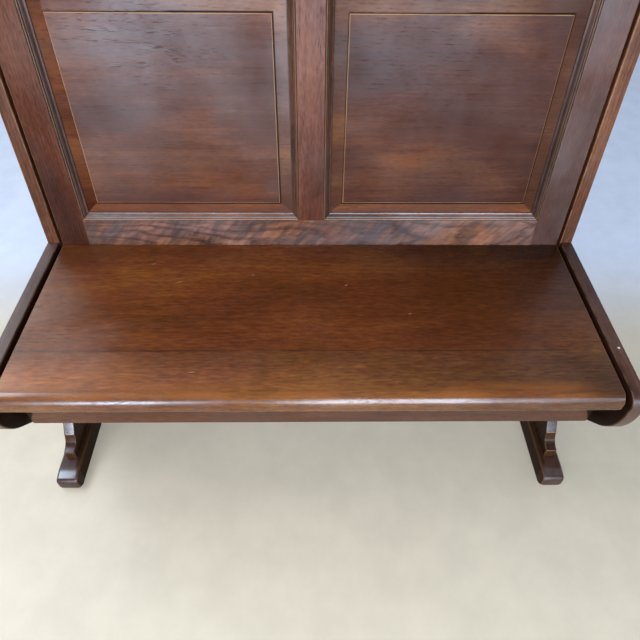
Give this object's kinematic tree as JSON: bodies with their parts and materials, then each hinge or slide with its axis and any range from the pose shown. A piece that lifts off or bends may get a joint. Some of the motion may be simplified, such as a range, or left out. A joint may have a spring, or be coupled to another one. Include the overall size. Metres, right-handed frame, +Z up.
{
  "type": "deacon bench",
  "caption": "Free-standing oak hall bench: plank seat on waisted ends with sled feet, and a reclined back of raised and fielded panels with mitred mouldings.",
  "frame": {"origin": "on the floor under the middle of the bench's box", "axes": "+X along the bench, to the right as seen from the front; +Y from the front to the back; +Z up"},
  "size_m": [1.165, 0.5372, 1.0118],
  "materials": {
    "seat_oak": "satin red-brown stain and wax",
    "frame_oak": "satin dark red-brown stain",
    "panel_oak": "satin brown stain with a soft sheen",
    "post_oak": "satin warm brown stain",
    "end_oak": "satin chocolate stain, worn pale at the arrises",
    "under_oak": "plain brown stain",
    "dowel_oak": "bare wood"
  },
  "bodies": {
    "root": {"seat": "seat_oak", "front_apron": "under_oak", "rear_ledger": "under_oak", "left_seat_bearer": "under_oak", "right_seat_bearer": "under_oak", "left_back_cleat": "under_oak", "right_back_cleat": "under_oak", "left_end_board": "end_oak", "right_end_board": "end_oak", "left_back_post": "post_oak", "right_back_post": "post_oak", "left_leg": "end_oak", "right_leg": "end_oak", "left_foot": "end_oak", "right_foot": "end_oak", "left_leg_dowel_1": "dowel_oak", "left_leg_dowel_2": "dowel_oak", "left_leg_dowel_3": "dowel_oak", "left_post_dowel_1": "dowel_oak", "left_post_dowel_2": "dowel_oak", "right_leg_dowel_1": "dowel_oak", "right_leg_dowel_2": "dowel_oak", "right_leg_dowel_3": "dowel_oak", "right_post_dowel_1": "dowel_oak", "right_post_dowel_2": "dowel_oak", "left_stile": "frame_oak", "right_stile": "frame_oak", "bottom_rail": "frame_oak", "top_rail": "frame_oak", "muntin": "frame_oak", "left_panel": "panel_oak", "right_panel": "panel_oak", "left_panel_bottom_moulding": "frame_oak", "left_panel_left_moulding": "frame_oak", "left_panel_top_moulding": "frame_oak", "left_panel_right_moulding": "frame_oak", "right_panel_bottom_moulding": "frame_oak", "right_panel_left_moulding": "frame_oak", "right_panel_top_moulding": "frame_oak", "right_panel_right_moulding": "frame_oak"}
  },
  "joints": []
}
